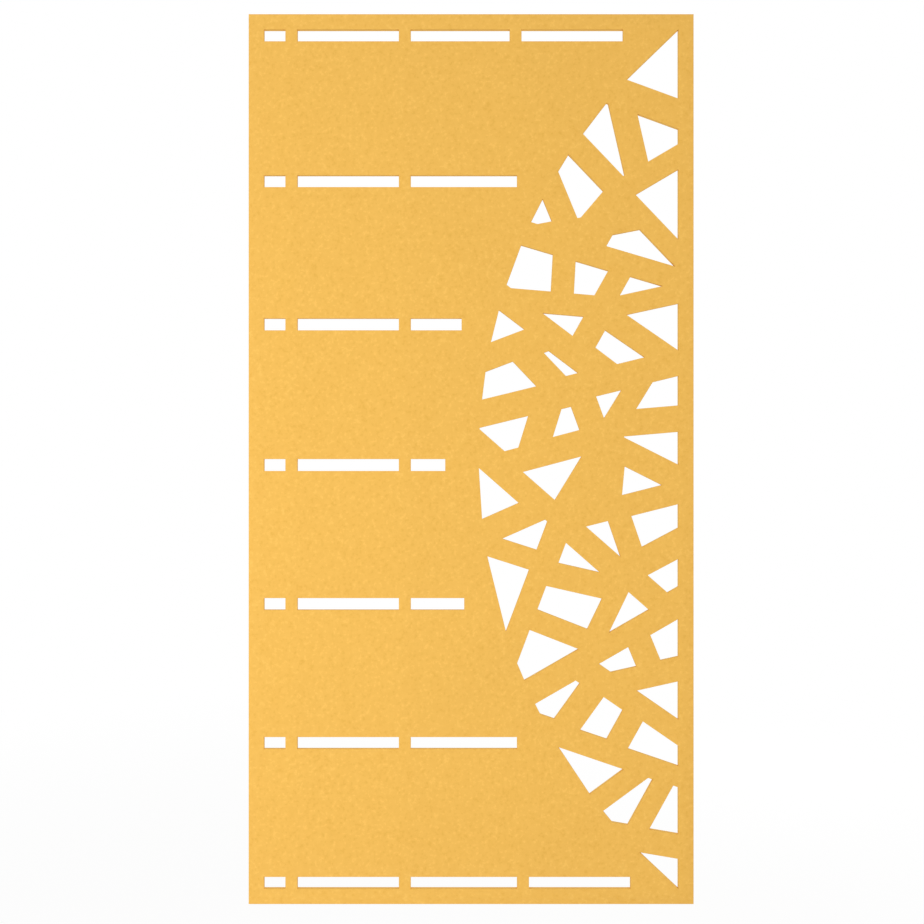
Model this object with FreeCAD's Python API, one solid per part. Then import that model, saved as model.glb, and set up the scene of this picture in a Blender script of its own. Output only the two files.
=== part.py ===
"""A felt hanging room divider: a cut-out board, a hanging rail and two cable grippers."""
import FreeCAD
import Part
import math
import os
import random

Vector = FreeCAD.Vector

# Lengths are in millimetres and angles in degrees. The divider hangs from two cables whose
# lines stand at y = 0. x runs along the board, y points to its back and z points up.
# z = 0 is the board's top edge.

# Felt board
BOARD_WIDTH = 1200.0
BOARD_HEIGHT = 2400.0
BOARD_THICKNESS = 12.0
BORDER = 41.0

# Rows of slots, each row running from the left border towards the field of shards
SLOT_HEIGHT = 32.0
FIRST_SLOT = 58.0
LONG_SLOT = 274.0
MIDDLE_SLOT = 287.0
TOP_MIDDLE_SLOT = 267.0
SLOT_WEB = 32.0
SLOT_TO_FIELD = 90.0
LEAST_SLOT = 50.0
ROW_SHARES = (0.0, 0.172, 0.341, 0.507, 0.671, 0.835, 1.0)

# Field of shards: a segment of a circle on the right border, broken up by straight cracks
FIELD_DEPTH = 539.0
FIELD_SIDES = 24
CELL_COUNT = 46
CRACK_SEED = 14
CRACK_SHIFT = 0.14
CRACK_TILT = 34.0
NARROW_BAR = 48.0
WIDE_BAR = 86.0
LEAST_SHARD_AREA = 1500.0
LEAST_CORNER = 14.0

# Hanging rail, an aluminium channel with a flange that stands against the board's back
RAIL_INSET = 18.0
RAIL_DROP = 4.0
RAIL_WALL = 2.0
FLANGE_HEIGHT = 17.0
CHANNEL_WIDTH = 14.0
CHANNEL_HEIGHT = 7.0
MOUTH_WIDTH = 7.0
RAIL_CORNER_RADIUS = 0.6

# End caps of the rail
CAP_THICKNESS = 2.0
CAP_EDGE_RADIUS = 0.6
TONGUE_LENGTH = 8.0
TONGUE_WALL = 1.5
TONGUE_CLEARANCE = 0.1

# Countersunk screws from the flange into the felt
SCREW_PITCH = 320.0
SCREW_END_MARGIN = 40.0
SCREW_RADIUS = 1.75
SCREW_HEAD_RADIUS = 3.5
SCREW_CLEARANCE = 0.05
SCREW_END_GAP = 0.3
FELT_COVER = 3.0

# Sliding nuts and the hollow studs on which the grippers sit
HANGER_INSET = 180.0
NUT_LENGTH = 22.0
NUT_FLOOR_GAP = 2.0
NUT_SIDE_CLEARANCE = 0.3
NUT_BOSS_CLEARANCE = 0.2
NUT_BOSS_RECESS = 0.3
STUD_RADIUS = 3.0
STUD_BORE_RADIUS = 1.2
STUD_END_GAP = 0.2
THREAD_CLEARANCE = 0.05
WASHER_RADIUS = 6.0
WASHER_THICKNESS = 1.6
WASHER_CLEARANCE = 0.2
JAM_NUT_SIDES = 6
JAM_NUT_FLATS = 10.0
JAM_NUT_HEIGHT = 3.2
JAM_NUT_CHAMFER = 30.0
JAM_NUT_GAP = 1.0

# Cable grippers: a body that screws onto the stud, with a cone that narrows upwards inside it, and
# a plunger that pushes the jaws down out of the cone and so lets the cable go
GRIPPER_RADIUS = 5.5
GRIPPER_HEIGHT = 14.2
GRIPPER_CHAMFER = 0.8
THREAD_DEPTH = 4.2
CHAMBER_RADIUS = 3.2
CHAMBER_HEIGHT = 2.4
CONE_HEIGHT = 4.0
CONE_NARROWING = 0.5
COLLAR_CLEARANCE = 0.15
COLLAR_HEIGHT = 1.0
NOSE_RADIUS = 2.0
NOSE_CLEARANCE = 0.1
NOSE_RISE = 2.5
NOSE_CHAMFER = 0.4
CABLE_BORE_RADIUS = 1.0

# Jaws that the cone presses on the cable, and the spring that lifts them into it
JAW_COUNT = 3
JAW_HEIGHT = 2.6
JAW_BORE_RADIUS = 1.3
JAW_CLEARANCE = 0.1
JAW_GAP_ANGLE = 12.0
SPRING_RADIUS = 2.1
SPRING_WIRE = 0.4
SPRING_TURNS = 2.5
SPRING_TURN_STEPS = 16
SPRING_END_GAP = 0.05

# Two points closer than this are one place
SAME_PLACE = 0.01

# Places that follow from the sizes
RAIL_FRONT = -CHANNEL_WIDTH / 2 - RAIL_WALL
RAIL_BACK = -RAIL_FRONT
FLANGE_BACK = RAIL_FRONT + RAIL_WALL
BOARD_BACK = RAIL_FRONT
BOARD_FRONT = BOARD_BACK - BOARD_THICKNESS
FLANGE_TOP = -RAIL_DROP
LIP_TOP = FLANGE_TOP - FLANGE_HEIGHT
LIP_BOTTOM = LIP_TOP - RAIL_WALL
CHANNEL_FLOOR = LIP_BOTTOM - CHANNEL_HEIGHT
RAIL_BOTTOM = CHANNEL_FLOOR - RAIL_WALL
RAIL_END = BOARD_WIDTH / 2 - RAIL_INSET - CAP_THICKNESS
HANGER_PLACE = RAIL_END - HANGER_INSET
SCREW_LINE = FLANGE_TOP - FLANGE_HEIGHT / 2
SCREW_HOLE_DEPTH = BOARD_THICKNESS - FELT_COVER
NUT_BOTTOM = CHANNEL_FLOOR + NUT_FLOOR_GAP
JAM_NUT_BOTTOM = LIP_TOP + WASHER_THICKNESS
GRIPPER_BOTTOM = JAM_NUT_BOTTOM + JAM_NUT_HEIGHT + JAM_NUT_GAP
STUD_TOP = GRIPPER_BOTTOM + THREAD_DEPTH - STUD_END_GAP
FIELD_RIGHT = BOARD_WIDTH / 2 - BORDER
FIELD_MIDDLE = -BOARD_HEIGHT / 2
FIELD_HALF_CHORD = BOARD_HEIGHT / 2 - BORDER
FIELD_RADIUS = (FIELD_HALF_CHORD**2 + FIELD_DEPTH**2) / (2 * FIELD_DEPTH)
FIELD_CENTRE = FIELD_RIGHT - FIELD_DEPTH + FIELD_RADIUS
GRIPPER_TOP = GRIPPER_BOTTOM + GRIPPER_HEIGHT
CONE_BOTTOM = GRIPPER_BOTTOM + THREAD_DEPTH + CHAMBER_HEIGHT
CONE_TOP = CONE_BOTTOM + CONE_HEIGHT
CONE_TOP_RADIUS = CHAMBER_RADIUS - CONE_NARROWING
COLLAR_BOTTOM = CONE_TOP - COLLAR_HEIGHT
JAW_BOTTOM = COLLAR_BOTTOM - JAW_HEIGHT


def box(x_range, y_range, z_range):
    """Return a box between two values on each axis."""
    corner = Vector(x_range[0], y_range[0], z_range[0])
    sizes = [high - low for low, high in (x_range, y_range, z_range)]
    return Part.makeBox(*sizes, corner)


def flat_wire(points):
    """Return the closed wire through a list of points."""
    return Part.makePolygon(points + points[:1])


def extruded(outline, start, end):
    """Return a (y, z) outline drawn out along x from start to end."""
    face = Part.Face(flat_wire([Vector(start, y, z) for y, z in outline]))
    return face.extrude(Vector(end - start, 0, 0))


def turned(outline, angle=360):
    """Return a (radius, z) outline turned about the z axis, once round or by an angle."""
    face = Part.Face(flat_wire([Vector(radius, 0, z) for radius, z in outline]))
    return face.revolve(Vector(0, 0, 0), Vector(0, 0, 1), angle)


def rounded(solid, radius, places):
    """Return the solid with its edges along x that lie at the (y, z) places rounded."""
    chosen = []
    for y, z in places:
        for edge in solid.Edges:
            ends = [vertex.Point for vertex in edge.Vertexes]
            if all(math.hypot(end.y - y, end.z - z) < SAME_PLACE for end in ends):
                chosen.append(edge)
    return solid.makeFillet(radius, chosen)


def sides(polygon):
    """Return each corner of a polygon paired with the next one."""
    return list(zip(polygon, polygon[1:] + polygon[:1]))


def polygon_area(polygon):
    """Return the area of a flat polygon on a plane across y."""
    return abs(sum(first.cross(second).y for first, second in sides(polygon))) / 2


def clipped(polygon, point, normal):
    """Return the part of a convex polygon on the side of a line that the normal points to."""
    kept = []
    for first, second in sides(polygon):
        first_side = (first - point).dot(normal)
        second_side = (second - point).dot(normal)
        if first_side >= 0:
            kept.append(first)
        if first_side * second_side < 0:
            kept.append(first + (second - first) * (first_side / (first_side - second_side)))
    return kept


def field_outline():
    """Return the segment of a circle that holds the shards."""
    half_angle = math.asin(FIELD_HALF_CHORD / FIELD_RADIUS)
    outline = []
    for step in range(FIELD_SIDES + 1):
        angle = half_angle * (1 - 2 * step / FIELD_SIDES)
        x = FIELD_CENTRE - FIELD_RADIUS * math.cos(angle)
        outline.append(Vector(x, 0, FIELD_MIDDLE + FIELD_RADIUS * math.sin(angle)))
    return outline


def cell(field, cracks, distance):
    """Return the part of the field on the inner side of each crack and a distance off it."""
    polygon = field
    for point, normal in cracks:
        polygon = clipped(polygon, point + normal * distance, normal)
    return polygon


def longest_line(polygon):
    """Return the two corners of a polygon that lie farthest apart."""
    pairs = [(first, second) for first in polygon for second in polygon]
    return max(pairs, key=lambda pair: (pair[1] - pair[0]).Length)


def crack_cells(field, chance):
    """Return the cracks round each cell, made by cracking the largest cell again and again.

    A crack crosses the cell's longest line near its middle, at a right angle but for a tilt.
    """
    cells = [[]]
    while len(cells) < CELL_COUNT:
        largest = max(cells, key=lambda cracks: polygon_area(cell(field, cracks, 0)))
        cells.remove(largest)
        start, end = longest_line(cell(field, largest, 0))
        share = 0.5 + chance.uniform(-CRACK_SHIFT, CRACK_SHIFT)
        point = start + (end - start) * share
        tilt = math.radians(chance.uniform(-CRACK_TILT, CRACK_TILT))
        angle = math.atan2(end.z - start.z, end.x - start.x) + tilt
        normal = Vector(math.cos(angle), 0, math.sin(angle))
        cells.append(largest + [(point, normal)])
        cells.append(largest + [(point, -normal)])
    return cells


def straightened(polygon):
    """Return a polygon without the corners at which its outline hardly turns."""
    kept = []
    for number, corner in enumerate(polygon):
        before = corner - polygon[number - 1]
        after = polygon[(number + 1) % len(polygon)] - corner
        if math.degrees(before.getAngle(after)) > LEAST_CORNER:
            kept.append(corner)
    return kept


def shards():
    """Return the outlines of the shards: the cells drawn in by half a bar along each crack."""
    chance = random.Random(CRACK_SEED)
    field = field_outline()
    outlines = []
    for cracks in crack_cells(field, chance):
        half_bar = chance.uniform(NARROW_BAR, WIDE_BAR) / 2
        outline = cell(field, cracks, half_bar)
        if len(outline) > 2:
            outline = straightened(outline)
        if len(outline) > 2 and polygon_area(outline) > LEAST_SHARD_AREA:
            outlines.append(outline)
    return outlines


def rectangle(left, right, bottom, top):
    """Return the corners of a rectangle on a plane across y."""
    return [Vector(left, 0, bottom), Vector(right, 0, bottom), Vector(right, 0, top), Vector(left, 0, top)]


def slots():
    """Return the outlines of the slots, each row stopping short of the field of shards."""
    outlines = []
    first_row = -BORDER - SLOT_HEIGHT / 2
    last_row = -BOARD_HEIGHT + BORDER + SLOT_HEIGHT / 2
    for row, share in enumerate(ROW_SHARES):
        middle_slot = MIDDLE_SLOT if row else TOP_MIDDLE_SLOT
        z = first_row + (last_row - first_row) * share
        arc = FIELD_CENTRE - math.sqrt(FIELD_RADIUS**2 - (z - FIELD_MIDDLE) ** 2)
        left = -BOARD_WIDTH / 2 + BORDER
        for length in (FIRST_SLOT, LONG_SLOT, middle_slot, LONG_SLOT):
            right = min(left + length, arc - SLOT_TO_FIELD)
            if right - left >= LEAST_SLOT:
                outlines.append(rectangle(left, right, z - SLOT_HEIGHT / 2, z + SLOT_HEIGHT / 2))
            left = right + SLOT_WEB
    return outlines


def screw_places():
    """Return the x of each rail screw, evenly spread about the middle of the rail."""
    gaps = int((2 * RAIL_END - 2 * SCREW_END_MARGIN) / SCREW_PITCH)
    return [(number - gaps / 2) * SCREW_PITCH for number in range(gaps + 1)]


def screw_form(growth, end):
    """Return a countersunk screw along y, flush in the flange and running to end, grown by a clearance."""
    head = SCREW_HEAD_RADIUS + growth
    shank = SCREW_RADIUS + growth
    seat = FLANGE_BACK - (head - shank)
    outline = [(0, FLANGE_BACK), (head, FLANGE_BACK), (shank, seat), (shank, end), (0, end)]
    face = Part.Face(flat_wire([Vector(radius, y, 0) for radius, y in outline]))
    return face.revolve(Vector(0, 0, 0), Vector(0, 1, 0), 360)


def felt_panel():
    """Return the board with its slots, its shards and the blind holes for the rail screws."""
    board = rectangle(-BOARD_WIDTH / 2, BOARD_WIDTH / 2, -BOARD_HEIGHT, 0)
    wires = [flat_wire(outline) for outline in [board] + slots() + shards()]
    face = Part.makeFace(wires, "Part::FaceMakerBullseye")
    face.translate(Vector(0, BOARD_FRONT, 0))
    panel = face.extrude(Vector(0, BOARD_THICKNESS, 0))
    radius = SCREW_RADIUS + SCREW_CLEARANCE
    into_felt = Vector(0, -1, 0)
    for x in screw_places():
        mouth = Vector(x, BOARD_BACK, SCREW_LINE)
        panel = panel.cut(Part.makeCylinder(radius, SCREW_HOLE_DEPTH, mouth, into_felt))
    return panel


def rail_outline():
    """Return the (y, z) section of the rail: a lipped channel, open upwards, with its flange."""
    mouth = MOUTH_WIDTH / 2
    wall = CHANNEL_WIDTH / 2
    return [
        (RAIL_FRONT, RAIL_BOTTOM),
        (RAIL_BACK, RAIL_BOTTOM),
        (RAIL_BACK, LIP_TOP),
        (mouth, LIP_TOP),
        (mouth, LIP_BOTTOM),
        (wall, LIP_BOTTOM),
        (wall, CHANNEL_FLOOR),
        (-wall, CHANNEL_FLOOR),
        (-wall, LIP_BOTTOM),
        (-mouth, LIP_BOTTOM),
        (-mouth, LIP_TOP),
        (FLANGE_BACK, LIP_TOP),
        (FLANGE_BACK, FLANGE_TOP),
        (RAIL_FRONT, FLANGE_TOP),
    ]


def hanging_rail():
    """Return the rail with its rounded outer corners and its countersunk screw holes."""
    rail = extruded(rail_outline(), -RAIL_END, RAIL_END)
    corners = [(RAIL_BACK, RAIL_BOTTOM), (RAIL_BACK, LIP_TOP), (FLANGE_BACK, FLANGE_TOP)]
    rail = rounded(rail, RAIL_CORNER_RADIUS, corners)
    hole = screw_form(SCREW_CLEARANCE, RAIL_FRONT)
    for x in screw_places():
        rail = rail.cut(hole.translated(Vector(x, 0, SCREW_LINE)))
    return rail


def rail_screws():
    """Return the row of screws that holds the rail to the board."""
    screw = screw_form(0, BOARD_BACK - SCREW_HOLE_DEPTH + SCREW_END_GAP)
    return Part.makeCompound([screw.translated(Vector(x, 0, SCREW_LINE)) for x in screw_places()])


def end_cap(side):
    """Return the cap on one end of the rail: a plate on its section and a hollow tongue inside."""
    inner = side * RAIL_END
    outer = side * (RAIL_END + CAP_THICKNESS)
    tip = side * (RAIL_END - TONGUE_LENGTH)
    outline = [
        (RAIL_FRONT, RAIL_BOTTOM),
        (RAIL_BACK, RAIL_BOTTOM),
        (RAIL_BACK, LIP_TOP),
        (FLANGE_BACK, LIP_TOP),
        (FLANGE_BACK, FLANGE_TOP),
        (RAIL_FRONT, FLANGE_TOP),
    ]
    plate = extruded(outline, inner, outer)
    corners = [(RAIL_BACK, RAIL_BOTTOM), (RAIL_BACK, LIP_TOP), (FLANGE_BACK, FLANGE_TOP)]
    plate = rounded(plate, CAP_EDGE_RADIUS, corners)
    half_width = CHANNEL_WIDTH / 2 - TONGUE_CLEARANCE
    low = CHANNEL_FLOOR + TONGUE_CLEARANCE
    high = LIP_BOTTOM - TONGUE_CLEARANCE
    length = sorted((tip, inner))
    tongue = box(length, (-half_width, half_width), (low, high))
    hollow_width = half_width - TONGUE_WALL
    hollow = box(length, (-hollow_width, hollow_width), (low + TONGUE_WALL, high - TONGUE_WALL))
    return plate.fuse(tongue.cut(hollow)).removeSplitter()


def slide_nut():
    """Return the nut that slides in the channel under the lips, its boss guided by the mouth."""
    half_length = NUT_LENGTH / 2
    half_width = CHANNEL_WIDTH / 2 - NUT_SIDE_CLEARANCE
    half_boss = MOUTH_WIDTH / 2 - NUT_BOSS_CLEARANCE
    boss_top = LIP_TOP - NUT_BOSS_RECESS
    outline = [
        (-half_width, NUT_BOTTOM),
        (half_width, NUT_BOTTOM),
        (half_width, LIP_BOTTOM),
        (half_boss, LIP_BOTTOM),
        (half_boss, boss_top),
        (-half_boss, boss_top),
        (-half_boss, LIP_BOTTOM),
        (-half_width, LIP_BOTTOM),
    ]
    nut = extruded(outline, -half_length, half_length)
    height = boss_top - NUT_BOTTOM
    return nut.cut(Part.makeCylinder(STUD_RADIUS + THREAD_CLEARANCE, height, Vector(0, 0, NUT_BOTTOM)))


def stud():
    """Return the hollow stud that joins nut and gripper and lets the cable's spare end through."""
    return turned([
        (STUD_BORE_RADIUS, NUT_BOTTOM),
        (STUD_RADIUS, NUT_BOTTOM),
        (STUD_RADIUS, STUD_TOP),
        (STUD_BORE_RADIUS, STUD_TOP),
    ])


def washer():
    """Return the washer that lies across the lips of the channel."""
    hole = STUD_RADIUS + WASHER_CLEARANCE
    top = LIP_TOP + WASHER_THICKNESS
    return turned([(hole, LIP_TOP), (WASHER_RADIUS, LIP_TOP), (WASHER_RADIUS, top), (hole, top)])


def jam_nut():
    """Return the thin six-sided nut, its upper corners turned off."""
    flat = JAM_NUT_FLATS / 2
    corner = flat / math.cos(math.pi / JAM_NUT_SIDES)
    points = []
    for number in range(JAM_NUT_SIDES):
        angle = 2 * math.pi * number / JAM_NUT_SIDES
        points.append(Vector(corner * math.cos(angle), corner * math.sin(angle), JAM_NUT_BOTTOM))
    nut = Part.Face(flat_wire(points)).extrude(Vector(0, 0, JAM_NUT_HEIGHT))
    top = JAM_NUT_BOTTOM + JAM_NUT_HEIGHT
    drop = (corner - flat) * math.tan(math.radians(JAM_NUT_CHAMFER))
    turned_off = turned([
        (STUD_RADIUS + THREAD_CLEARANCE, JAM_NUT_BOTTOM),
        (corner, JAM_NUT_BOTTOM),
        (corner, top - drop),
        (flat, top),
        (STUD_RADIUS + THREAD_CLEARANCE, top),
    ])
    return nut.common(turned_off)


def gripper_body():
    """Return the gripper's body, hollow from below: thread, spring chamber, cone and hole for the nose."""
    thread = STUD_RADIUS + THREAD_CLEARANCE
    nose_hole = NOSE_RADIUS + NOSE_CLEARANCE
    return turned([
        (thread, GRIPPER_BOTTOM),
        (GRIPPER_RADIUS - GRIPPER_CHAMFER, GRIPPER_BOTTOM),
        (GRIPPER_RADIUS, GRIPPER_BOTTOM + GRIPPER_CHAMFER),
        (GRIPPER_RADIUS, GRIPPER_TOP - GRIPPER_CHAMFER),
        (GRIPPER_RADIUS - GRIPPER_CHAMFER, GRIPPER_TOP),
        (nose_hole, GRIPPER_TOP),
        (nose_hole, CONE_TOP),
        (CONE_TOP_RADIUS, CONE_TOP),
        (CHAMBER_RADIUS, CONE_BOTTOM),
        (CHAMBER_RADIUS, GRIPPER_BOTTOM + THREAD_DEPTH),
        (thread, GRIPPER_BOTTOM + THREAD_DEPTH),
    ])


def plunger():
    """Return the release plunger, its collar against the cone's top and its nose outside."""
    collar = CONE_TOP_RADIUS - COLLAR_CLEARANCE
    nose_top = GRIPPER_TOP + NOSE_RISE
    return turned([
        (CABLE_BORE_RADIUS, COLLAR_BOTTOM),
        (collar, COLLAR_BOTTOM),
        (collar, CONE_TOP),
        (NOSE_RADIUS, CONE_TOP),
        (NOSE_RADIUS, nose_top - NOSE_CHAMFER),
        (NOSE_RADIUS - NOSE_CHAMFER, nose_top),
        (CABLE_BORE_RADIUS, nose_top),
    ])


def jaw_radius(z):
    """Return the outer radius of the jaws at a height: the cone's, less a clearance."""
    return CHAMBER_RADIUS - CONE_NARROWING * (z - CONE_BOTTOM) / CONE_HEIGHT - JAW_CLEARANCE


def collet_jaws():
    """Return the jaws round the cable's way, tapered as the cone is, under the plunger's collar."""
    spacing = 360 / JAW_COUNT
    outline = [
        (JAW_BORE_RADIUS, JAW_BOTTOM),
        (jaw_radius(JAW_BOTTOM), JAW_BOTTOM),
        (jaw_radius(COLLAR_BOTTOM), COLLAR_BOTTOM),
        (JAW_BORE_RADIUS, COLLAR_BOTTOM),
    ]
    jaw = turned(outline, spacing - JAW_GAP_ANGLE)
    axis = Vector(0, 0, 1)
    return Part.makeCompound([jaw.rotated(Vector(), axis, number * spacing) for number in range(JAW_COUNT)])


def return_spring():
    """Return the coil spring between stud and jaws: square wire wound evenly up a helix."""
    low = STUD_TOP + SPRING_END_GAP
    climb = JAW_BOTTOM - SPRING_END_GAP - SPRING_WIRE - low
    inner = SPRING_RADIUS - SPRING_WIRE / 2
    outer = SPRING_RADIUS + SPRING_WIRE / 2
    steps = round(SPRING_TURNS * SPRING_TURN_STEPS)
    sections = []
    for step in range(steps + 1):
        bottom = low + climb * step / steps
        corners = rectangle(inner, outer, bottom, bottom + SPRING_WIRE)
        section = flat_wire(corners)
        sections.append(section.rotated(Vector(), Vector(0, 0, 1), 360 * step / SPRING_TURN_STEPS))
    return Part.makeLoft(sections, True, True)


def main():
    """Build every piece in its place and write one file for each."""
    os.makedirs("parts", exist_ok=True)
    pieces = {
        "felt_panel": felt_panel(),
        "hanging_rail": hanging_rail(),
        "rail_screws": rail_screws(),
        "end_cap_left": end_cap(-1),
        "end_cap_right": end_cap(1),
    }
    hanger = {
        "slide_nut": slide_nut(),
        "stud": stud(),
        "washer": washer(),
        "jam_nut": jam_nut(),
        "gripper_body": gripper_body(),
        "plunger": plunger(),
        "collet_jaws": collet_jaws(),
        "return_spring": return_spring(),
    }
    for side, place in (("left", -HANGER_PLACE), ("right", HANGER_PLACE)):
        for name, shape in hanger.items():
            pieces[name + "_" + side] = shape.translated(Vector(place, 0, 0))
    for name, shape in pieces.items():
        shape.exportStep("parts/" + name + ".step")


main()
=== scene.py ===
"""Looks of a hanging felt room divider: its board, hanging rail, screws and cable grippers.

Lengths are in metres. x runs along the board, y points to its back, and z = 0 is its top edge.
"""
import math

import bmesh
import bpy
import numpy as np
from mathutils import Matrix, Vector, geometry


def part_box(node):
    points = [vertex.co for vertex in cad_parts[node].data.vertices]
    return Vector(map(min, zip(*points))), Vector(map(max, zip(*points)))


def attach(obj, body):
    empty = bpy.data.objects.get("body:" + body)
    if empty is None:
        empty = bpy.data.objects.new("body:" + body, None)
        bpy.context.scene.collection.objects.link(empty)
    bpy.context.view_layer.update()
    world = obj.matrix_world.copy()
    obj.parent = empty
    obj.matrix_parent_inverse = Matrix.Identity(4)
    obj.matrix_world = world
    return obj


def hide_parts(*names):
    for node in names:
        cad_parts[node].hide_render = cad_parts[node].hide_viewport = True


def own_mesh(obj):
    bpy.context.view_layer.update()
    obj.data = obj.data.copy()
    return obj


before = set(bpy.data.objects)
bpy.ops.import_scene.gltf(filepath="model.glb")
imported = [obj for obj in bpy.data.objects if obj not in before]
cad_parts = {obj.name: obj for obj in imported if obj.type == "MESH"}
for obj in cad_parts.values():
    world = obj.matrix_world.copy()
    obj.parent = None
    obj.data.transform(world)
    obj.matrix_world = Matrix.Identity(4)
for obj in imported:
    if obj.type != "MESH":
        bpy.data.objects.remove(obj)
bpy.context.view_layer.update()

# Camera, from the photograph: its width and the board's edges in pixels, and the camera's distance
PHOTO_PIXELS = 924
BOARD_LEFT_PIXEL = 248.43
BOARD_RIGHT_PIXEL = 693.85
BOARD_TOP_PIXEL = 14.07
BOARD_BOTTOM_PIXEL = 904.15
CAMERA_DISTANCE = 2.6
SENSOR_MILLIMETRES = 36.0

# Studio: an even surround, soft lamps in front on the left and behind on the right, and a pale floor
SURROUND_LEVEL = 0.788
LAMP_PLACES = ((-1.8, -2.9, -1.4), (1.8, 2.9, -1.4))
LAMP_RADIUS = 1.2
LAMP_WATTS = 142.0
FLOOR_DROP = 0.5
FLOOR_SIZE = 60.0
FLOOR_COLOUR = (0.66, 0.66, 0.66, 1)
FLOOR_WHITENESS = 0.94
FLOOR_FADE_START = 1.5
FLOOR_FADE_END = 5.0
WHITE = (1, 1, 1, 1)

# Felt board: soft cut edges, and the name of the mark that tells its walls from its faces
LIP_RADIUS = 0.0008
LIP_STEPS = 3
WALL_MARK = "cut_wall"

# Felt: its colours on faces and on cut walls, the walls darker partly for denser fibres and partly as
# painted shade, its fibres, and the sizes of its other marks.
# A scale is how many marks come to a metre, and a cell is the size of one mark along x, y and z.
FELT_DEEP = (0.876, 0.484, 0.087, 1)
FELT_PALE = (1.0, 0.589, 0.130, 1)
# Cut walls: darker than the faces, partly for the denser fibres at a cut and partly as painted shade of
# the walls inside the cut-outs
CUT_DEEP_DENSE_AND_SHADE = (0.74, 0.43, 0.090, 1)
CUT_PALE_DENSE_AND_SHADE = (0.90, 0.54, 0.120, 1)
FIBRE_TURNS = (0.3, 0.95, 1.6, 2.2, 2.8)
FIBRE_CELL = (0.009, 0.009, 0.00032)
FIBRE_SHARPNESS = 9
FIBRE_STRAY = 0.0025
FIBRE_STRAY_SCALE = 260.0
FELT_MOTTLE_SCALE = 60.0
TUFT_SCALE = 120.0
LAYER_CELL = (0.005, 0.0008, 0.005)
FELT_RELIEF = 0.0003

# Rail: anodised aluminium with die lines along x
ALUMINIUM_DULL = (0.58, 0.59, 0.61, 1)
ALUMINIUM_BRIGHT = (0.80, 0.81, 0.82, 1)
ALUMINIUM_HAZE_SCALE = 26.0
DIE_LINE_CELL = (0.6, 0.00035, 0.00035)
DIE_LINE_RELIEF = 0.00004

# Fittings: zinc-plated steel with scratches, nickel-plated brass with lathe rings, and black plastic
ZINC_GREY = (0.46, 0.49, 0.54, 1)
ZINC_BRIGHT = (0.70, 0.71, 0.71, 1)
ZINC_MOTTLE_SCALE = 420.0
SCRATCH_CELL = (0.004, 0.004, 0.00012)
SCRATCH_TURN = (0.4, 0.7, 0.0)
SCRATCH_RELIEF = 0.00003
NICKEL_GREY = (0.56, 0.53, 0.48, 1)
NICKEL_BRIGHT = (0.76, 0.73, 0.68, 1)
NICKEL_HAZE_SCALE = 300.0
LATHE_RING_CELL = (0.05, 0.05, 0.00014)
LATHE_RING_RELIEF = 0.00002
PLASTIC_BLACK = (0.016, 0.016, 0.018, 1)
PLASTIC_RUBBED = (0.034, 0.034, 0.036, 1)
PLASTIC_RUB_SCALE = 160.0
PLASTIC_GRAIN_SCALE = 3200.0
PLASTIC_GRAIN_RELIEF = 0.00005

# Rail screws
SCREW_COUNT = 4
SCREW_SIDES = 96
SCREW_FACE_RINGS = 28
SCREW_SHANK_RADIUS = 0.00175
CROSS_LENGTH = 0.0019
CROSS_WIDTH = 0.0009
CROSS_DEPTH = 0.0014
CROSS_SOFTNESS = 0.00012

# Studs and grippers
THREAD_PITCH = 0.001
THREAD_DEPTH = 0.0006
THREAD_STEPS = 8
THREAD_SIDES = 32
STUD_BORE_RADIUS = 0.0012
STUD_CHAMFER = 0.0004
GRIPPER_CHAMFER = 0.0008
GRIPPER_THREAD_RADIUS = 0.00305
GRIPPER_THREAD_DEPTH = 0.0042
GRIPPER_CHAMBER_RADIUS = 0.0032
GRIPPER_CONE_BOTTOM = 0.0066
GRIPPER_CONE_TOP = 0.0106
GRIPPER_CONE_TOP_RADIUS = 0.0027
GRIPPER_NOSE_HOLE = 0.0021
KNURL_COUNT = 32
KNURL_STEPS = 6
KNURL_DEPTH = 0.00022
KNURL_MARGIN = 0.0022
KNURL_ROWS = 48

# Springs in the grippers: their wire, its turns, and the steps and sides of its mesh
SPRING_WIRE_RADIUS = 0.0002
SPRING_TURNS = 2.5
SPRING_STEPS = 120
SPRING_SIDES = 16

# Meshes: points closer than SAME_PLACE are one, and edges that turn by more than SMOOTH_ANGLE are sharp
SAME_PLACE = 1e-6
PLACE_DECIMALS = 6
SMOOTH_ANGLE = math.radians(40)


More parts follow.
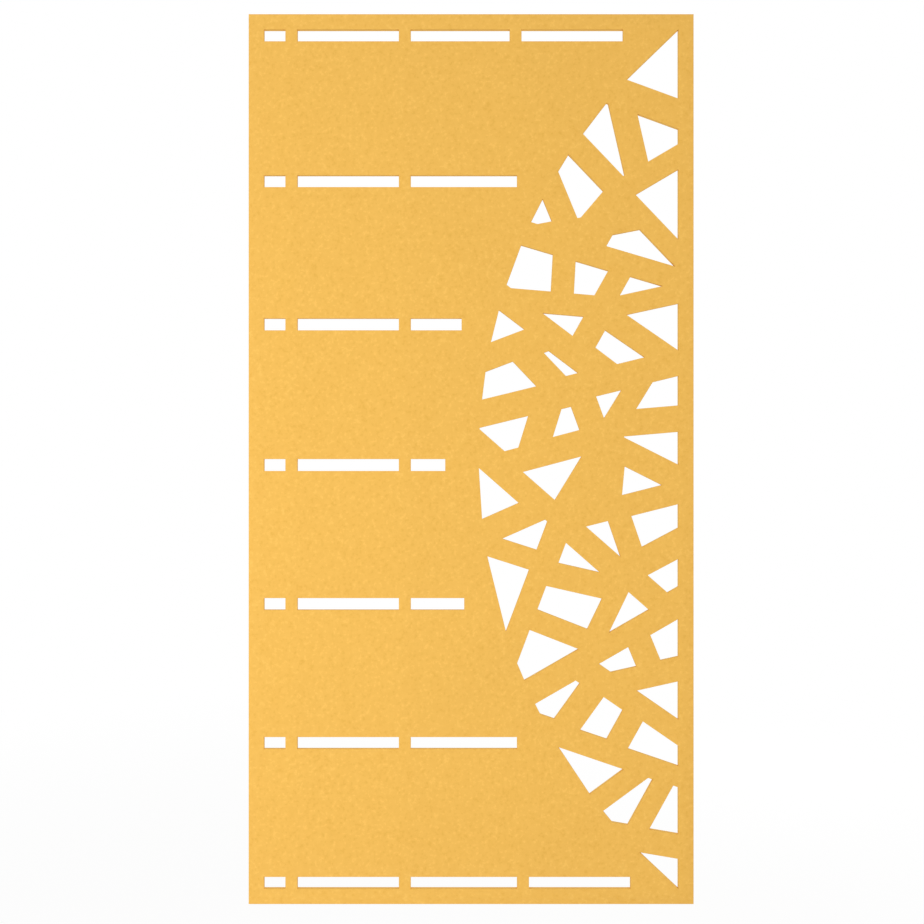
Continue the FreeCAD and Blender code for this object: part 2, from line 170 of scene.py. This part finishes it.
class Shade:
    """A socket in a node tree. Its operators add Math nodes, and add() adds any other node."""

    def __init__(self, tree, socket=None):
        self.tree = tree
        self.socket = socket

    def fill(self, node, sockets):
        """Give the named sockets of a node their values or links."""
        for name, value in sockets.items():
            if isinstance(value, Shade):
                self.tree.links.new(value.socket, node.inputs[name])
            else:
                node.inputs[name].default_value = value

    def add(self, kind, settings, sockets, output=0):
        """Add a node, its settings first and then its sockets, and return one of its outputs."""
        node = self.tree.nodes.new("ShaderNode" + kind)
        for name, value in settings.items():
            setattr(node, name, value)
        self.fill(node, sockets)
        return Shade(self.tree, node.outputs[output])

    def maths(self, operation, *values):
        """Add a Math node on one or two values."""
        return self.add("Math", {"operation": operation}, dict(enumerate(values)))

    def __add__(self, other):
        return self.maths("ADD", self, other)

    def __radd__(self, other):
        return self.maths("ADD", other, self)

    def __sub__(self, other):
        return self.maths("SUBTRACT", self, other)

    def __rsub__(self, other):
        return self.maths("SUBTRACT", other, self)

    def __mul__(self, other):
        return self.maths("MULTIPLY", self, other)

    def __rmul__(self, other):
        return self.maths("MULTIPLY", other, self)

    def __abs__(self):
        return self.maths("ABSOLUTE", self)

    def larger(self, other):
        """Return the larger of two values."""
        return self.maths("MAXIMUM", self, other)

    def spread(self, low, high):
        """Return 0 at low, 1 at high, a smooth rise between them and no change past them."""
        sockets = {"Value": self, "From Min": low, "From Max": high}
        return self.add("MapRange", {"interpolation_type": "SMOOTHSTEP"}, sockets)

    def noise(self, scale, detail=2.0, roughness=0.5, output="Fac"):
        """Return noise at this place, with features of about one part in scale of a metre."""
        sockets = {"Vector": self, "Scale": scale, "Detail": detail, "Roughness": roughness}
        return self.add("TexNoise", {}, sockets, output)

    def stretched(self, sizes, turn=(0, 0, 0)):
        """Return this place turned and measured in cells of the given sizes."""
        sockets = {"Vector": self, "Rotation": turn, "Scale": sizes}
        return self.add("Mapping", {"vector_type": "TEXTURE"}, sockets)

    def between(self, low, high):
        """Return a colour between two others, by this value."""
        return self.add("Mix", {"data_type": "RGBA"}, {0: self, 6: low, 7: high}, 2)

    def relief(self, distance, strength=1.0):
        """Return the normal of a surface that this value raises by up to a distance."""
        sockets = {"Height": self, "Distance": distance, "Strength": strength}
        return self.add("Bump", {}, sockets)


def new_material(name, settings):
    """Return a material, its place on the object as a Shade, and a function that sets its shader."""
    material = bpy.data.materials.new(name)
    material.use_nodes = True
    tree = material.node_tree
    shader = tree.nodes["Principled BSDF"]
    start = Shade(tree)
    start.fill(shader, settings)
    place = start.add("TexCoord", {}, {}, "Object")
    return material, place, lambda sockets: start.fill(shader, sockets)


def fibre_lines(place, turn):
    """Thin wavering lines across the board: the ridge where stretched noise passes its middle."""
    cells = place.stretched(FIBRE_CELL, (0, turn, 0))
    ridge = 1 - abs(cells.noise(1.0, 1.0) - 0.5) * FIBRE_SHARPNESS
    return ridge.spread(0.0, 1.0)


def felt():
    """Pressed felt: matted fibres that lie every way, soft mottling and layers on its cut walls."""
    material, place, finish = new_material("felt", {
        "Roughness": 0.95,
        "Specular IOR Level": 0.1,
        "Sheen Weight": 0.06,
        "Sheen Roughness": 0.5,
    })
    wall = place.add("Attribute", {"attribute_name": WALL_MARK}, {}, "Fac")
    wander = place.noise(FIBRE_STRAY_SCALE, 1.0, output="Color")
    sockets = {0: wander, 1: (FIBRE_STRAY,) * 3, 2: place}
    strayed = place.add("VectorMath", {"operation": "MULTIPLY_ADD"}, sockets)
    lines = fibre_lines(strayed, FIBRE_TURNS[0])
    for turn in FIBRE_TURNS[1:]:
        lines = lines.larger(fibre_lines(strayed, turn))
    mottle = place.noise(FELT_MOTTLE_SCALE, 3.0, 0.65)
    tufts = place.noise(TUFT_SCALE, 1.0)
    flecks = tufts.spread(0.59, 0.73) * 0.40 - tufts.spread(0.41, 0.27) * 0.28
    layers = place.stretched(LAYER_CELL).noise(1.0, 3.0)
    tone = 0.5 + (mottle - 0.5) * 0.9 + flecks * 0.85 + (lines - 0.45) * 0.12
    face = tone.between(FELT_DEEP, FELT_PALE)
    # The cut walls' colour, with its layers: denser fibres at the cut, and painted shade of the
    # cut-outs' walls
    cut = layers.between(CUT_DEEP_DENSE_AND_SHADE, CUT_PALE_DENSE_AND_SHADE)
    finish({
        # Walls take mostly the cut colour, so the walls of the cut-outs carry painted shade
        "Base Color": (wall * 0.85).between(face, cut),
        "Normal": (lines * (0.6 - wall * 0.4) + tufts * 0.5 + layers * wall).relief(FELT_RELIEF, 0.6),
    })
    return material


def anodised_aluminium():
    """Drawn aluminium with a satin anodised skin: fine die lines along its length."""
    material, place, finish = new_material("anodised_aluminium", {"Metallic": 1.0})
    die_lines = place.stretched(DIE_LINE_CELL).noise(1.0, 3.0)
    haze = place.noise(ALUMINIUM_HAZE_SCALE, 3.0)
    tone = 0.5 + (die_lines - 0.5) * 0.8 + (haze - 0.5) * 0.5
    finish({
        "Base Color": tone.between(ALUMINIUM_DULL, ALUMINIUM_BRIGHT),
        "Roughness": 0.30 + haze * 0.10 + die_lines * 0.10,
        "Normal": die_lines.relief(DIE_LINE_RELIEF, 0.5),
    })
    return material


def zinc_steel():
    """Steel with a bright zinc plating: a cool mottled tint and small handling scratches."""
    material, place, finish = new_material("zinc_steel", {"Metallic": 1.0})
    mottle = place.noise(ZINC_MOTTLE_SCALE, 3.0)
    scratches = place.stretched(SCRATCH_CELL, SCRATCH_TURN).noise(1.0, 1.0)
    marks = scratches.spread(0.62, 0.70)
    tone = 0.5 + (mottle - 0.5) * 1.2 + marks * 0.3
    finish({
        "Base Color": tone.between(ZINC_GREY, ZINC_BRIGHT),
        "Roughness": 0.24 + mottle * 0.18 + marks * 0.12,
        "Normal": (mottle * 0.4 + scratches).relief(SCRATCH_RELIEF, 0.4),
    })
    return material


def nickel():
    """Turned brass with a nickel plating: rings from the lathe and a warm tint."""
    material, place, finish = new_material("nickel", {"Metallic": 1.0})
    rings = place.stretched(LATHE_RING_CELL).noise(1.0, 2.0)
    haze = place.noise(NICKEL_HAZE_SCALE, 2.0)
    tone = 0.5 + (rings - 0.5) * 0.5 + (haze - 0.5) * 0.8
    finish({
        "Base Color": tone.between(NICKEL_GREY, NICKEL_BRIGHT),
        "Roughness": 0.16 + haze * 0.14,
        "Normal": rings.relief(LATHE_RING_RELIEF, 0.35),
    })
    return material


def black_plastic():
    """Moulded black plastic with a fine spark-eroded grain and paler rubbed spots."""
    material, place, finish = new_material("black_plastic", {"Specular IOR Level": 0.4})
    grain = place.noise(PLASTIC_GRAIN_SCALE, 1.0)
    rubbed = place.noise(PLASTIC_RUB_SCALE, 3.0).spread(0.55, 0.75)
    finish({
        "Base Color": rubbed.between(PLASTIC_BLACK, PLASTIC_RUBBED),
        "Roughness": 0.62 - rubbed * 0.12 + grain * 0.1,
        "Normal": grain.relief(PLASTIC_GRAIN_RELIEF, 0.5),
    })
    return material


def seen_directly(start):
    """Return 1 for rays that show the background itself or its mirror image, and else 0."""
    flags = [start.add("LightPath", {}, {}, name)
             for name in ("Is Camera Ray", "Is Glossy Ray", "Is Transmission Ray")]
    return flags[0].larger(flags[1]).larger(flags[2])


def floor_paint(middle):
    """Pale matt floor: nearly white round its middle, where a faint shadow stays, and white far off."""
    material = bpy.data.materials.new("floor_paint")
    material.use_nodes = True
    tree = material.node_tree
    tree.nodes.remove(tree.nodes["Principled BSDF"])
    start = Shade(tree)
    matt = start.add("BsdfDiffuse", {}, {"Color": FLOOR_COLOUR})
    glow = start.add("Emission", {}, {"Color": WHITE, "Strength": 1.0})
    place = start.add("TexCoord", {}, {}, "Object")
    distance = start.add("VectorMath", {"operation": "DISTANCE"}, {0: place, 1: middle}, "Value")
    far = distance.spread(FLOOR_FADE_START, FLOOR_FADE_END)
    share = seen_directly(start) * (FLOOR_WHITENESS + far * (1 - FLOOR_WHITENESS))
    mixed = start.add("MixShader", {}, {0: share, 1: matt, 2: glow})
    start.fill(tree.nodes["Material Output"], {"Surface": mixed})
    return material


def new_piece(name, points, faces, material, marks=None):
    """Make an object at the origin from points and faces, smooth but for its sharp edges."""
    mesh = bpy.data.meshes.new(name)
    mesh.from_pydata(points.reshape(-1, 3).tolist(), [], faces.tolist())
    for mark, values in (marks or {}).items():
        mesh.attributes.new(mark, "FLOAT", "POINT").data.foreach_set("value", values)
    merged = bmesh.new()
    merged.from_mesh(mesh)
    bmesh.ops.remove_doubles(merged, verts=merged.verts, dist=SAME_PLACE)
    merged.to_mesh(mesh)
    merged.free()
    mesh.shade_smooth()
    mesh.set_sharp_from_angle(angle=SMOOTH_ANGLE)
    mesh.materials.append(material)
    piece = bpy.data.objects.new(name, mesh)
    bpy.context.scene.collection.objects.link(piece)
    return piece


def stand_for(piece, body, slot, *nodes):
    """Let a piece ride on a body and stand for solids of that body."""
    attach(piece, body)
    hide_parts(*nodes)


def grid_faces(rows, columns, first=0, around=False):
    """Quads between neighbours on a grid whose columns, and rows if around, close on themselves."""
    row = np.arange(rows if around else rows - 1)[:, None]
    column = np.arange(columns)[None, :]
    next_row = (row + 1) % rows
    next_column = (column + 1) % columns
    corners = [(row, column), (row, next_column), (next_row, next_column), (next_row, column)]
    numbers = [first + a * columns + b for a, b in corners]
    return np.stack(np.broadcast_arrays(*numbers), axis=-1).reshape(-1, 4)


def face_outlines(node, level):
    """Closed outlines, as (x, z) corners, of a solid's flat face on the plane y = level.

    An edge that only one triangle of the face has lies on an outline, and the outlines are walked
    from edge to edge with the solid on their left, seen from the front.
    """
    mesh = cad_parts[node].data
    corners = np.empty(3 * len(mesh.vertices), np.float32)
    mesh.vertices.foreach_get("co", corners)
    triangles = np.empty(len(mesh.loops), np.int32)
    mesh.loops.foreach_get("vertex_index", triangles)
    places = np.round(corners.reshape(-1, 3).astype(float), PLACE_DECIMALS)
    places, merged = np.unique(places, axis=0, return_inverse=True)
    triangles = merged.reshape(-1)[triangles].reshape(-1, 3)
    flat = triangles[(abs(places[triangles][:, :, 1] - level) < SAME_PLACE).all(axis=1)]
    edges = np.concatenate([flat[:, [0, 1]], flat[:, [1, 2]], flat[:, [2, 0]]])
    there = edges @ [len(places), 1]
    back = edges @ [1, len(places)]
    following = dict(edges[~np.isin(there, back)].tolist())
    outlines = []
    while following:
        walk = [min(following)]
        while walk[-1] in following:
            walk.append(following.pop(walk[-1]))
        outlines.append(places[walk[:-1]][:, [0, 2]])
    return outlines


def mitres(outline):
    """For each corner, how far it moves when both its sides move left by one.

    That is the sum of the two sides' left normals over one plus their dot product.
    """
    side = np.roll(outline, -1, axis=0) - outline
    side /= np.linalg.norm(side, axis=1, keepdims=True)
    after = np.column_stack([-side[:, 1], side[:, 0]])
    before = np.roll(after, 1, axis=0)
    return (after + before) / (1 + (after * before).sum(axis=1, keepdims=True))


def cut_profile(thickness):
    """Profile of a cut wall from face to face: distance from the wall's plane, depth and wall mark.

    Each lip is a quarter circle: the distance is r (1 - sin t) and the depth is r (1 - cos t).
    """
    turn = np.linspace(0, math.pi / 2, LIP_STEPS + 1)
    distance = LIP_RADIUS * (1 - np.sin(turn))
    depth = LIP_RADIUS * (1 - np.cos(turn))
    mark = np.sin(turn) ** 2
    return (
        np.concatenate([distance, distance[::-1]]),
        np.concatenate([depth, thickness - depth[::-1]]),
        np.concatenate([mark, mark[::-1]]),
    )


def next_corners(owner):
    """The number of the next corner on the same outline, given the outline that owns each corner."""
    number = np.arange(len(owner))
    first = np.searchsorted(owner, owner)
    last = np.searchsorted(owner, owner, side="right") - 1
    return np.where(number == last, first, number + 1)


def wall_faces(following, rings):
    """Quads between rings of points that all have the same corners, from each corner to the next."""
    number = np.arange(len(following))
    ring = len(following) * np.arange(rings - 1)[:, None]
    deeper = ring + len(following)
    walls = [ring + number, deeper + number, deeper + following, ring + following]
    return np.stack(walls, axis=-1).reshape(-1, 4)


def flat_faces(corners, following, owner):
    """Triangles between the outlines, without those that have all their corners on one cut-out."""
    edges = np.column_stack([np.arange(len(corners)), following]).tolist()
    filled = geometry.delaunay_2d_cdt([Vector(corner) for corner in corners], edges, [], 1, SAME_PLACE)
    triangles = np.array(filled[2])
    own = owner[triangles]
    in_cut_out = (own == own[:, :1]).all(axis=1) & (own[:, 0] > 0)
    return triangles[~in_cut_out]


def felt_board(material):
    """The board: its cut profile carried along every outline, with a flat face at each end.

    A point of the walls is its outline's corner, moved by the profile's distance along the mitre,
    at the profile's depth. The first outline, which is the largest, is the board's own.
    """
    low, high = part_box("felt_panel")
    outlines = sorted(face_outlines("felt_panel", low.y), key=np.ptp)[::-1]
    corners = np.concatenate(outlines)
    shifts = np.concatenate([mitres(outline) for outline in outlines])
    owner = np.repeat(np.arange(len(outlines)), [len(outline) for outline in outlines])
    following = next_corners(owner)
    distance, depth, mark = cut_profile(high.y - low.y)
    flat = corners + shifts * distance[:, None, None]
    level = np.broadcast_to(low.y + depth[:, None], flat.shape[:2])
    points = np.stack([flat[:, :, 0], level, flat[:, :, 1]], axis=-1)
    walls = wall_faces(following, len(distance))
    front = flat_faces(flat[0], following, owner)
    back = front[:, ::-1] + len(corners) * (len(distance) - 1)
    faces = walls.tolist() + front.tolist() + back.tolist()
    marks = {WALL_MARK: np.repeat(mark, len(corners)).astype(np.float32)}
    return new_piece("felt_board", points, np.array(faces, dtype=object), material, marks)


def screw_points(place, radius, face, tip):
    """One screw along y, as a grid of rings and angles from the middle of its head to its tip.

    A ring's point is (x + r cos a, y, z + r sin a). On the head, y sinks by the depth of a cross:
    the cross is where either |r cos a| or |r sin a| is under half its width, and it shoals
    towards the ends of its arms.
    """
    angle = np.linspace(0, 2 * math.pi, SCREW_SIDES, endpoint=False)
    rings = np.linspace(0, radius, SCREW_FACE_RINGS)
    seat = face - (radius - SCREW_SHANK_RADIUS)
    r = np.concatenate([rings, [SCREW_SHANK_RADIUS, SCREW_SHANK_RADIUS, 0.0]])[:, None]
    y = np.concatenate([np.full(SCREW_FACE_RINGS, face), [seat, tip + SCREW_SHANK_RADIUS, tip]])[:, None]
    along = r * np.cos(angle)
    up = r * np.sin(angle)
    beside = np.minimum(abs(along), abs(up))
    arm = np.clip((CROSS_WIDTH / 2 - beside) / CROSS_SOFTNESS, 0, 1)
    shoal = np.clip(1 - r / CROSS_LENGTH, 0, 1) ** 0.5
    on_head = (np.arange(len(r)) < SCREW_FACE_RINGS)[:, None]
    sunk = y - CROSS_DEPTH * arm * shoal * on_head
    return np.stack([place[0] + along, sunk, place[1] + up], axis=-1)


def rail_screws(material):
    """The row of countersunk screws with a cross in each head, evenly spaced along the rail."""
    low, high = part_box("rail_screws")
    radius = (high.z - low.z) / 2
    points = []
    faces = []
    for x in np.linspace(low.x + radius, high.x - radius, SCREW_COUNT):
        grid = screw_points((x, (low.z + high.z) / 2), radius, high.y, low.y)
        faces.append(grid_faces(*grid.shape[:2], first=len(faces) * grid.shape[0] * grid.shape[1]))
        points.append(grid)
    return new_piece("cross_head_screws", np.array(points), np.concatenate(faces), material)


def turned_points(centre, radius, height, sides):
    """Rings about an upright line: x = r cos a, y = r sin a and z, with r and z by ring and angle."""
    angle = np.linspace(0, 2 * math.pi, sides, endpoint=False)
    radius = np.broadcast_to(radius, (len(radius), sides))
    height = np.broadcast_to(height, radius.shape)
    x = centre.x + radius * np.cos(angle)
    y = centre.y + radius * np.sin(angle)
    return np.stack([x, y, height], axis=-1)


def threaded_stud(node, name, material):
    """A hollow stud: its radius falls by a triangle wave of the height in pitches less the turn."""
    low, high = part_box(node)
    centre = (low + high) / 2
    outer = (high.x - low.x) / 2
    steps = round((high.z - low.z) / THREAD_PITCH * THREAD_STEPS)
    height = np.linspace(low.z, high.z, steps + 1)[:, None]
    turn = np.arange(THREAD_SIDES) / THREAD_SIDES
    wave = abs(2 * ((height / THREAD_PITCH - turn) % 1) - 1)
    end = np.minimum(height - low.z, high.z - height)
    radius = np.minimum(outer - THREAD_DEPTH * wave, outer - STUD_CHAMFER + end)
    bore = np.full((2, THREAD_SIDES), STUD_BORE_RADIUS)
    radius = np.concatenate([radius, bore])
    height = np.concatenate([height, [[high.z], [low.z]]])
    points = turned_points(centre, radius, height, THREAD_SIDES)
    return new_piece(name, points, grid_faces(*points.shape[:2], around=True), material)


def gripper_profile(bottom, top, outer):
    """Corners, as (radius, height), of a gripper body below its band, and those above and inside it."""
    below = [
        (GRIPPER_THREAD_RADIUS, bottom),
        (outer - GRIPPER_CHAMFER, bottom),
        (outer, bottom + GRIPPER_CHAMFER),
    ]
    above = [
        (outer, top - GRIPPER_CHAMFER),
        (outer - GRIPPER_CHAMFER, top),
        (GRIPPER_NOSE_HOLE, top),
        (GRIPPER_NOSE_HOLE, bottom + GRIPPER_CONE_TOP),
        (GRIPPER_CONE_TOP_RADIUS, bottom + GRIPPER_CONE_TOP),
        (GRIPPER_CHAMBER_RADIUS, bottom + GRIPPER_CONE_BOTTOM),
        (GRIPPER_CHAMBER_RADIUS, bottom + GRIPPER_THREAD_DEPTH),
        (GRIPPER_THREAD_RADIUS, bottom + GRIPPER_THREAD_DEPTH),
    ]
    return below, above


def knurled_gripper(node, name, material):
    """A turned gripper body with a knurled band.

    The band's radius falls between diamonds: the depth is one minus the product of two sines that
    run up to the left and up to the right, and it fades out at the band's ends.
    """
    low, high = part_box(node)
    outer = (high.x - low.x) / 2
    sides = KNURL_COUNT * KNURL_STEPS
    turn = np.linspace(0, math.pi * KNURL_COUNT, sides, endpoint=False)
    height = np.linspace(low.z + KNURL_MARGIN, high.z - KNURL_MARGIN, KNURL_ROWS)[:, None]
    climb = KNURL_COUNT / (2 * outer) * height
    diamonds = abs(np.sin(turn / 2 + climb) * np.sin(turn / 2 - climb))
    end = np.minimum(height - height[0], height[-1] - height)
    fade = np.clip(end / GRIPPER_CHAMFER, 0, 1)
    band = outer - KNURL_DEPTH * (1 - diamonds) * fade
    profile = gripper_profile(low.z, high.z, outer)
    below, above = [np.array(corners)[:, :, None] * np.ones(sides) for corners in profile]
    radius = np.concatenate([below[:, 0], band, above[:, 0]])
    level = np.concatenate([below[:, 1], height * np.ones(sides), above[:, 1]])
    points = turned_points((low + high) / 2, radius, level, sides)
    return new_piece(name, points, grid_faces(*points.shape[:2], around=True), material)


def coil_spring(node, name, material):
    """Round wire wound up a helix.

    The wire's middle is at R cos a, R sin a and climbs evenly with the angle a. A ring about it is
    the wire's radius times cos b outwards and sin b downwards, and that radius is nothing on the
    first and last ring, which closes the ends.
    """
    low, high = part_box(node)
    centre = (low + high) / 2
    share = np.linspace(0, 1, SPRING_STEPS)[:, None]
    share = np.concatenate([share[:1], share, share[-1:]])
    wire = np.full_like(share, SPRING_WIRE_RADIUS)
    wire[[0, -1]] = 0
    round_wire = np.linspace(0, 2 * math.pi, SPRING_SIDES, endpoint=False)
    turn = 2 * math.pi * SPRING_TURNS * share
    radius = (high.x - low.x) / 2 - SPRING_WIRE_RADIUS + wire * np.cos(round_wire)
    bottom = low.z + SPRING_WIRE_RADIUS
    climb = high.z - low.z - 2 * SPRING_WIRE_RADIUS
    x = centre.x + radius * np.cos(turn)
    y = centre.y + radius * np.sin(turn)
    height = bottom + climb * share - wire * np.sin(round_wire)
    points = np.stack([x, y, height], axis=-1)
    return new_piece(name, points, grid_faces(*points.shape[:2]), material)


def paint(material, *nodes):
    """Give solids that stay in view their finish."""
    for node in nodes:
        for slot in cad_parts[node].material_slots:
            slot.material = material


def dress():
    """Make the new pieces and give every solid that stays in view its material."""
    steel = zinc_steel()
    bright = nickel()
    plastic = black_plastic()
    stand_for(felt_board(felt()), "panel", "felt", "felt_panel")
    stand_for(rail_screws(steel), "panel", "zinc_steel", "rail_screws")
    paint(anodised_aluminium(), "hanging_rail")
    for side in ("left", "right"):
        hanger = "hanger_" + side
        stud = threaded_stud("stud_" + side, "threaded_stud_" + side, steel)
        stand_for(stud, hanger, "zinc_steel", "stud_" + side)
        gripper = knurled_gripper("gripper_body_" + side, "knurled_gripper_" + side, bright)
        stand_for(gripper, hanger, "nickel", "gripper_body_" + side)
        spring = coil_spring("return_spring_" + side, "coil_spring_" + side, steel)
        stand_for(spring, hanger, "zinc_steel", "return_spring_" + side)
        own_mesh(spring)
        paint(steel, "slide_nut_" + side, "washer_" + side, "jam_nut_" + side, "collet_jaws_" + side)
        paint(bright, "plunger_" + side)
        paint(plastic, "end_cap_" + side)


def set_camera():
    """Place the camera so that the board's edges fall on their pixels of the photograph."""
    low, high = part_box("felt_panel")
    pixel = (high.z - low.z) / (BOARD_BOTTOM_PIXEL - BOARD_TOP_PIXEL)
    middle = (low + high) / 2
    right = (BOARD_LEFT_PIXEL + BOARD_RIGHT_PIXEL - PHOTO_PIXELS) / 2 * pixel
    down = (BOARD_TOP_PIXEL + BOARD_BOTTOM_PIXEL - PHOTO_PIXELS) / 2 * pixel
    data = bpy.data.cameras.new("camera")
    data.sensor_width = SENSOR_MILLIMETRES
    data.lens = SENSOR_MILLIMETRES * CAMERA_DISTANCE / (PHOTO_PIXELS * pixel)
    camera = bpy.data.objects.new("camera", data)
    camera.location = (middle.x - right, low.y - CAMERA_DISTANCE, middle.z + down)
    camera.rotation_euler = (math.pi / 2, 0, 0)
    bpy.context.scene.collection.objects.link(camera)
    bpy.context.scene.camera = camera


def set_lamps():
    """Place the large round lamps, which shine alike every way and have no mirror image in the metal."""
    for place in LAMP_PLACES:
        data = bpy.data.lights.new("lamp", "POINT")
        data.shadow_soft_size = LAMP_RADIUS
        data.energy = LAMP_WATTS
        lamp = bpy.data.objects.new("lamp", data)
        lamp.location = place
        lamp.visible_glossy = False
        bpy.context.scene.collection.objects.link(lamp)


def set_surround():
    """Even light from all round, which the camera and mirror images see as white."""
    world = bpy.data.worlds.new("surround")
    world.use_nodes = True
    tree = world.node_tree
    start = Shade(tree)
    level = SURROUND_LEVEL + seen_directly(start) * (1 - SURROUND_LEVEL)
    start.fill(tree.nodes["Background"], {"Color": WHITE, "Strength": level})
    bpy.context.scene.world = world


def set_floor():
    """A pale floor below the hanging board."""
    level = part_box("felt_panel")[0].z - FLOOR_DROP
    reach = FLOOR_SIZE / 2
    points = np.array([[x * reach, y * reach, level] for x, y in ((-1, -1), (1, -1), (1, 1), (-1, 1))])
    new_piece("floor", points, np.array([[0, 1, 2, 3]]), floor_paint((0, 0, level)))


bpy.context.scene.view_settings.view_transform = "Standard"
set_camera()
set_lamps()
set_surround()
set_floor()
dress()
